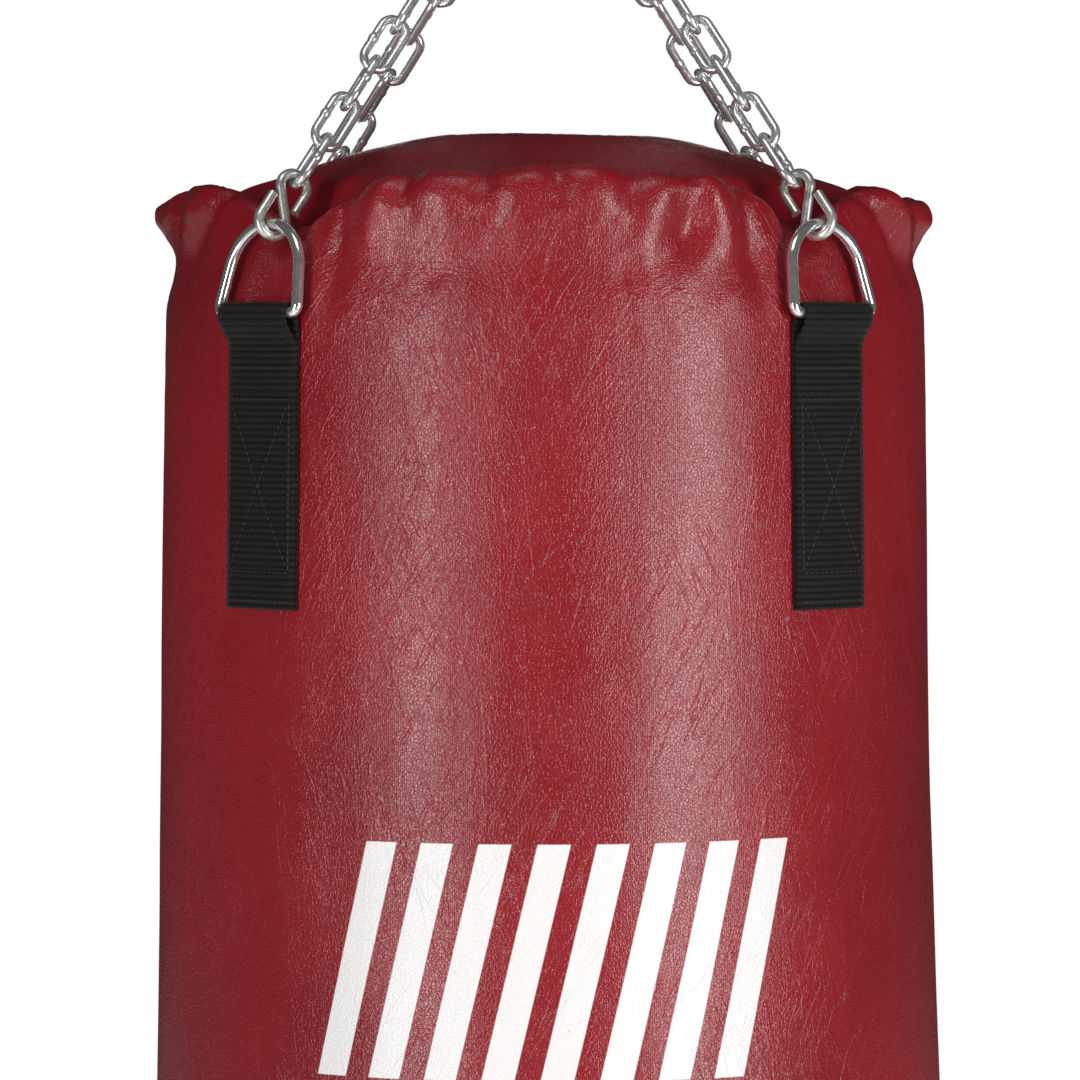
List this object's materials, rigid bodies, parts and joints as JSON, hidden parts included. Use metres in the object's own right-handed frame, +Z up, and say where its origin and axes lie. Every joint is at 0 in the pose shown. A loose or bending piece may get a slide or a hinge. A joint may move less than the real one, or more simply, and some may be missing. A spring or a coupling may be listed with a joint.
{
  "type": "heavy punching bag",
  "caption": "Hanging heavy punching bag in leatherette, on webbing straps, D-rings, S-hooks and converging chains from a swivel eye.",
  "frame": {"origin": "centre of the hanging eye's hole, at the top of the swivel", "axes": "+Z up along the hanging bag, +Y towards its back along the eye's hole, +X to its right; front faces -Y"},
  "size_m": [0.3515, 0.3523, 1.4031],
  "materials": {
    "zinc_forging": "zinc plated",
    "bearing_steel": "polished",
    "zinc_fastener": "zinc plated",
    "chain_zinc": "bright zinc plated",
    "hook_zinc": "dull zinc plated",
    "ring_nickel": "nickel plated",
    "webbing": "ribbed",
    "backing_canvas": "woven",
    "leatherette": "satin",
    "piping": "satin",
    "zip_tape": "woven",
    "zip_teeth": "satin",
    "zip_metal": "nickel plated",
    "foam": "matte",
    "sack": "woven",
    "textile": "matte"
  },
  "bodies": {
    "swivel_top": {"swivel_eye": "zinc_forging", "swivel_lower_race": "bearing_steel", "swivel_nut": "zinc_fastener", "swivel_lock_pin": "zinc_fastener"},
    "ball_set": {"swivel_balls": "bearing_steel"},
    "swivel_yoke": {"swivel_yoke": "zinc_forging", "swivel_upper_race": "bearing_steel", "clevis_pin": "zinc_fastener", "clevis_split_pin": "zinc_fastener"},
    "master_ring": {"master_ring": "zinc_forging"},
    "bag": {"cover_side": "leatherette", "top_panel": "leatherette", "base_panel": "leatherette", "base_piping": "piping", "back_seam_tape": "leatherette", "strap_front_left": "webbing", "strap_front_right": "webbing", "strap_rear_left": "webbing", "strap_rear_right": "webbing", "patch_front_left": "backing_canvas", "patch_front_right": "backing_canvas", "patch_rear_left": "backing_canvas", "patch_rear_right": "backing_canvas", "zip_tape": "zip_tape", "zip_teeth": "zip_teeth", "zip_stops": "zip_metal", "foam_wrap": "foam", "inner_sack": "sack", "textile_filling": "textile"},
    "chain_front_left": {"chain_front_left": "chain_zinc"},
    "s_hook_front_left": {"s_hook_front_left": "hook_zinc"},
    "d_ring_front_left": {"d_ring_front_left": "ring_nickel"},
    "chain_front_right": {"chain_front_right": "chain_zinc"},
    "s_hook_front_right": {"s_hook_front_right": "hook_zinc"},
    "d_ring_front_right": {"d_ring_front_right": "ring_nickel"},
    "chain_rear_left": {"chain_rear_left": "chain_zinc"},
    "s_hook_rear_left": {"s_hook_rear_left": "hook_zinc"},
    "d_ring_rear_left": {"d_ring_rear_left": "ring_nickel"},
    "chain_rear_right": {"chain_rear_right": "chain_zinc"},
    "s_hook_rear_right": {"s_hook_rear_right": "hook_zinc"},
    "d_ring_rear_right": {"d_ring_rear_right": "ring_nickel"},
    "zip_slider": {"zip_slider": "zip_metal"},
    "zip_pull": {"zip_pull": "zip_metal"}
  },
  "joints": [
    {"name": "swivel_spin", "type": "hinge", "parent": "swivel_top", "child": "swivel_yoke", "pos_m": [0, 0, -0.028], "axis": [0, 0, 1], "continuous": true},
    {"name": "ball_roll", "type": "hinge", "parent": "swivel_top", "child": "ball_set", "pos_m": [0, 0, -0.037], "axis": [0, 0, 1], "continuous": true},
    {"name": "ring_swing", "type": "hinge", "parent": "swivel_yoke", "child": "master_ring", "pos_m": [0, 0, -0.072], "axis": [0, 1, 0], "range_deg": [-35, 35]},
    {"name": "bag_swing", "type": "hinge", "parent": "master_ring", "child": "bag", "pos_m": [0, 0, -0.128], "axis": [1, 0, 0], "range_deg": [-35, 35]},
    {"name": "chain_twist_front_left", "type": "hinge", "parent": "bag", "child": "chain_front_left", "pos_m": [-0.015, 0, -0.128], "axis": [0.444, 0.5084, 0.7378], "range_deg": [-6, 6]},
    {"name": "chain_twist_front_right", "type": "hinge", "parent": "bag", "child": "chain_front_right", "pos_m": [0.015, 0, -0.128], "axis": [-0.444, 0.5084, 0.7378], "range_deg": [-6, 6]},
    {"name": "chain_twist_rear_left", "type": "hinge", "parent": "bag", "child": "chain_rear_left", "pos_m": [-0.0065, 0, -0.128], "axis": [0.4726, -0.5001, 0.7257], "range_deg": [-6, 6]},
    {"name": "chain_twist_rear_right", "type": "hinge", "parent": "bag", "child": "chain_rear_right", "pos_m": [0.0065, 0, -0.128], "axis": [-0.4726, -0.5001, 0.7257], "range_deg": [-6, 6]},
    {"name": "s_hook_twist_front_left", "type": "hinge", "parent": "bag", "child": "s_hook_front_left", "pos_m": [-0.11833, -0.11833, -0.29971], "axis": [0.444, 0.5084, 0.7378], "range_deg": [-7, 7]},
    {"name": "s_hook_twist_front_right", "type": "hinge", "parent": "bag", "child": "s_hook_front_right", "pos_m": [0.11833, -0.11833, -0.29971], "axis": [-0.444, 0.5084, 0.7378], "range_deg": [-7, 7]},
    {"name": "s_hook_twist_rear_left", "type": "hinge", "parent": "bag", "child": "s_hook_rear_left", "pos_m": [-0.11833, 0.11833, -0.29971], "axis": [0.4726, -0.5001, 0.7257], "range_deg": [-7, 7]},
    {"name": "s_hook_twist_rear_right", "type": "hinge", "parent": "bag", "child": "s_hook_rear_right", "pos_m": [0.11833, 0.11833, -0.29971], "axis": [-0.4726, -0.5001, 0.7257], "range_deg": [-7, 7]},
    {"name": "d_ring_rock_front_left", "type": "hinge", "parent": "bag", "child": "d_ring_front_left", "pos_m": [-0.12406, -0.12406, -0.33786], "axis": [-0.7071, 0.7071, 0], "range_deg": [0, 1.3]},
    {"name": "d_ring_rock_front_right", "type": "hinge", "parent": "bag", "child": "d_ring_front_right", "pos_m": [0.12406, -0.12406, -0.33786], "axis": [-0.7071, -0.7071, 0], "range_deg": [0, 1.3]},
    {"name": "d_ring_rock_rear_left", "type": "hinge", "parent": "bag", "child": "d_ring_rear_left", "pos_m": [-0.12406, 0.12406, -0.33786], "axis": [0.7071, 0.7071, 0], "range_deg": [0, 1.3]},
    {"name": "d_ring_rock_rear_right", "type": "hinge", "parent": "bag", "child": "d_ring_rear_right", "pos_m": [0.12406, 0.12406, -0.33786], "axis": [0.7071, -0.7071, 0], "range_deg": [0, 1.3]},
    {"name": "zip_run", "type": "hinge", "parent": "bag", "child": "zip_slider", "pos_m": [0, 0, -0.73286], "axis": [0, 0.9839, -0.1788], "range_deg": [0, 13.6]},
    {"name": "zip_pull_flip", "type": "hinge", "parent": "zip_slider", "child": "zip_pull", "pos_m": [-0.05702, 0.08551, -0.26235], "axis": [0, 0.9839, -0.1788], "range_deg": [-110, 0]}
  ],
  "couplings": [
    {"joint": "ball_roll", "follows": "swivel_spin", "ratio": 0.5}
  ]
}
